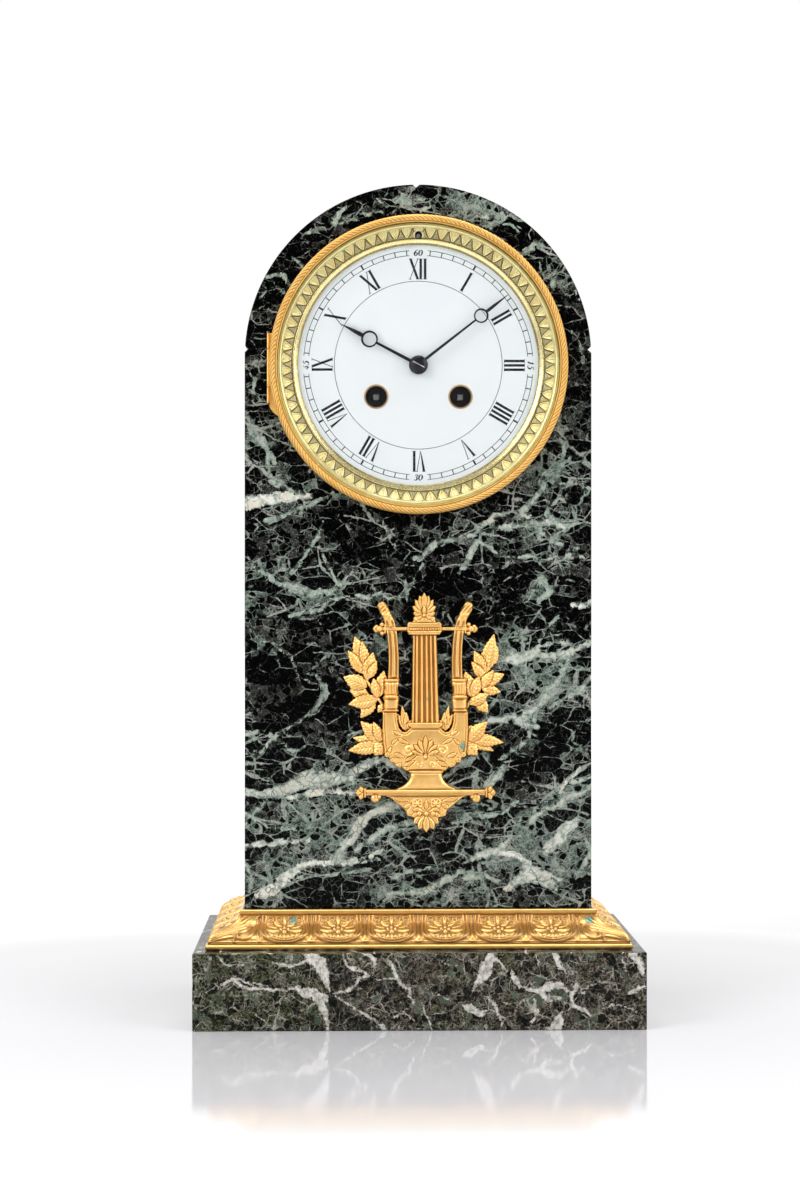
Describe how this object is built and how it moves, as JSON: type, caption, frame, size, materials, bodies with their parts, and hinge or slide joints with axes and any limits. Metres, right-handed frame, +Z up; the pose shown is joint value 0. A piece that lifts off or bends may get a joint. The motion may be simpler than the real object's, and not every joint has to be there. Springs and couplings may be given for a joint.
{
  "type": "marble mantel clock",
  "caption": "Round-topped marble mantel clock on a stepped base, with a hinged gilt bezel over a white dial and a gilt lyre mount.",
  "frame": {"origin": "middle of the underside of the base slab", "axes": "+X to the right seen from the front, -Y towards the front, +Z up"},
  "size_m": [0.23, 0.15, 0.4327],
  "materials": {
    "base_marble": "polished",
    "body_marble": "polished",
    "moulding_gilt": "gilt, dark in the recesses",
    "matt_gilt": "matt gilt",
    "bright_gilt": "bright gilt",
    "movement_brass": "brushed",
    "bell_metal": "turned",
    "dial_enamel": "gloss",
    "clear_glass": "clear",
    "hand_steel": "blackened",
    "blued_steel": "blued",
    "arbor_steel": "polished",
    "iron": "dull"
  },
  "bodies": {
    "case": {"base_slab": "base_marble", "plinth_step": "base_marble", "moulding_front": "moulding_gilt", "moulding_left": "moulding_gilt", "moulding_right": "moulding_gilt", "front_slab": "body_marble", "back_slab": "body_marble", "side_slab_left": "body_marble", "side_slab_right": "body_marble", "roof_left": "body_marble", "roof_right": "body_marble", "lyre_mount": "matt_gilt", "lyre_studs": "iron", "bezel_seat": "bright_gilt", "dial_surround": "bright_gilt", "dial_plate": "movement_brass", "dial": "dial_enamel", "winding_grommets": "bright_gilt", "movement_straps": "movement_brass", "strap_screws": "blued_steel", "back_ring": "movement_brass", "hinge_pins": "iron", "front_plate": "movement_brass", "back_plate": "movement_brass", "pillars": "movement_brass", "suspension_cock": "movement_brass", "suspension_spring": "arbor_steel", "bell": "bell_metal", "bell_stand": "arbor_steel"},
    "bezel_door": {"bezel_ring": "matt_gilt", "bezel_glass": "clear_glass", "glass_ring": "bright_gilt"},
    "rear_door": {"back_door": "movement_brass"},
    "minute_set": {"cannon_pinion": "arbor_steel", "minute_hand": "hand_steel", "hand_collet": "hand_steel"},
    "motion_wheel": {"minute_wheel": "movement_brass"},
    "hour_set": {"hour_wheel": "movement_brass", "hour_hand": "hand_steel"},
    "centre_arbor": {"centre_wheel": "movement_brass"},
    "second_arbor": {"second_wheel": "movement_brass"},
    "third_arbor": {"third_wheel": "movement_brass"},
    "escape_arbor": {"escape_wheel": "movement_brass"},
    "going_drum": {"going_barrel": "movement_brass"},
    "going_winder": {"going_arbor": "arbor_steel"},
    "going_pawl": {"going_click": "arbor_steel"},
    "strike_drum": {"strike_barrel": "movement_brass"},
    "strike_winder": {"strike_arbor": "arbor_steel"},
    "strike_pawl": {"strike_click": "arbor_steel"},
    "strike_count": {"strike_second_wheel": "movement_brass"},
    "pin_arbor": {"pin_wheel": "movement_brass"},
    "locking_arbor": {"locking_wheel": "movement_brass"},
    "fly_arbor": {"fly": "movement_brass"},
    "hammer_arbor": {"hammer": "arbor_steel"},
    "pallets": {"anchor": "arbor_steel"},
    "pendulum": {"pendulum_rod": "movement_brass", "pendulum_bob": "movement_brass"},
    "bob_nut": {"rating_nut": "movement_brass"},
    "regulator": {"regulator_arbor": "arbor_steel"},
    "regulator_gear": {"regulator_wheel": "movement_brass"}
  },
  "joints": [
    {"name": "bezel_hinge", "type": "hinge", "parent": "case", "child": "bezel_door", "pos_m": [-0.0776, -0.0481, 0.3392], "axis": [0, 0, -1], "range_deg": [0, 105]},
    {"name": "rear_door_hinge", "type": "hinge", "parent": "case", "child": "rear_door", "pos_m": [0.0578, 0.0733, 0.3592], "axis": [0, 0, -1], "range_deg": [0, 100]},
    {"name": "minute_hand_turn", "type": "hinge", "parent": "case", "child": "minute_set", "pos_m": [0, 0, 0.3392], "axis": [0, 1, 0], "continuous": true},
    {"name": "minute_wheel_turn", "type": "hinge", "parent": "case", "child": "motion_wheel", "pos_m": [0, 0, 0.3272], "axis": [0, 1, 0], "continuous": true},
    {"name": "hour_hand_turn", "type": "hinge", "parent": "case", "child": "hour_set", "pos_m": [0, 0, 0.3392], "axis": [0, 1, 0], "continuous": true},
    {"name": "escape_wheel_turn", "type": "hinge", "parent": "case", "child": "escape_arbor", "pos_m": [0, 0, 0.3657], "axis": [0, 1, 0], "continuous": true},
    {"name": "third_wheel_turn", "type": "hinge", "parent": "case", "child": "third_arbor", "pos_m": [-0.00603, 0, 0.35302], "axis": [0, 1, 0], "continuous": true},
    {"name": "centre_wheel_turn", "type": "hinge", "parent": "case", "child": "centre_arbor", "pos_m": [0, 0, 0.3392], "axis": [0, 1, 0], "continuous": true},
    {"name": "second_wheel_turn", "type": "hinge", "parent": "case", "child": "second_arbor", "pos_m": [0.01443, 0, 0.34612], "axis": [0, 1, 0], "continuous": true},
    {"name": "going_barrel_turn", "type": "hinge", "parent": "case", "child": "going_drum", "pos_m": [0.0218, 0, 0.3229], "axis": [0, 1, 0], "continuous": true},
    {"name": "going_winding_turn", "type": "hinge", "parent": "case", "child": "going_winder", "pos_m": [0.0218, 0, 0.3229], "axis": [0, 1, 0], "continuous": true},
    {"name": "going_click_lift", "type": "hinge", "parent": "case", "child": "going_pawl", "pos_m": [0.0334, 0, 0.3249], "axis": [0, -1, 0], "range_deg": [0, 8]},
    {"name": "fly_turn", "type": "hinge", "parent": "case", "child": "fly_arbor", "pos_m": [-0.0219, 0, 0.37797], "axis": [0, 1, 0], "continuous": true},
    {"name": "locking_wheel_turn", "type": "hinge", "parent": "case", "child": "locking_arbor", "pos_m": [-0.01506, 0, 0.36982], "axis": [0, 1, 0], "continuous": true},
    {"name": "pin_wheel_turn", "type": "hinge", "parent": "case", "child": "pin_arbor", "pos_m": [-0.0237, 0, 0.35953], "axis": [0, 1, 0], "continuous": true},
    {"name": "strike_second_turn", "type": "hinge", "parent": "case", "child": "strike_count", "pos_m": [-0.03209, 0, 0.34498], "axis": [0, 1, 0], "continuous": true},
    {"name": "strike_barrel_turn", "type": "hinge", "parent": "case", "child": "strike_drum", "pos_m": [-0.0218, 0, 0.3229], "axis": [0, 1, 0], "continuous": true},
    {"name": "strike_winding_turn", "type": "hinge", "parent": "case", "child": "strike_winder", "pos_m": [-0.0218, 0, 0.3229], "axis": [0, 1, 0], "continuous": true},
    {"name": "strike_click_lift", "type": "hinge", "parent": "case", "child": "strike_pawl", "pos_m": [-0.0334, 0, 0.3249], "axis": [0, 1, 0], "range_deg": [0, 8]},
    {"name": "hammer_lift", "type": "hinge", "parent": "case", "child": "hammer_arbor", "pos_m": [-0.04, 0, 0.3662], "axis": [0, 1, 0], "range_deg": [0, 10]},
    {"name": "pendulum_swing", "type": "hinge", "parent": "case", "child": "pendulum", "pos_m": [0, 0.011, 0.3822], "axis": [0, 1, 0], "range_deg": [-2.5, 2.5]},
    {"name": "pallets_rock", "type": "hinge", "parent": "case", "child": "pallets", "pos_m": [0, 0, 0.3822], "axis": [0, 1, 0], "range_deg": [-2.5, 2.5]},
    {"name": "rating_nut_turn", "type": "hinge", "parent": "pendulum", "child": "bob_nut", "pos_m": [0, 0.011, 0.207], "axis": [0, 0, 1], "continuous": true},
    {"name": "regulator_turn", "type": "hinge", "parent": "case", "child": "regulator", "pos_m": [0, 0, 0.4058], "axis": [0, 1, 0], "continuous": true},
    {"name": "regulator_wheel_turn", "type": "hinge", "parent": "case", "child": "regulator_gear", "pos_m": [0, 0, 0.3973], "axis": [0, 1, 0], "continuous": true}
  ],
  "couplings": [
    {"joint": "minute_wheel_turn", "follows": "minute_hand_turn", "ratio": -0.33333},
    {"joint": "hour_hand_turn", "follows": "minute_hand_turn", "ratio": 0.083333},
    {"joint": "third_wheel_turn", "follows": "escape_wheel_turn", "ratio": -0.083333},
    {"joint": "centre_wheel_turn", "follows": "escape_wheel_turn", "ratio": 0.0069444},
    {"joint": "second_wheel_turn", "follows": "escape_wheel_turn", "ratio": -0.00099206},
    {"joint": "going_barrel_turn", "follows": "escape_wheel_turn", "ratio": 0.00016534},
    {"joint": "locking_wheel_turn", "follows": "fly_turn", "ratio": -0.16667},
    {"joint": "pin_wheel_turn", "follows": "fly_turn", "ratio": 0.02381},
    {"joint": "strike_second_turn", "follows": "fly_turn", "ratio": -0.0026455},
    {"joint": "strike_barrel_turn", "follows": "fly_turn", "ratio": 0.00044092},
    {"joint": "pallets_rock", "follows": "pendulum_swing", "ratio": 1},
    {"joint": "regulator_wheel_turn", "follows": "regulator_turn", "ratio": -0.41667}
  ]
}
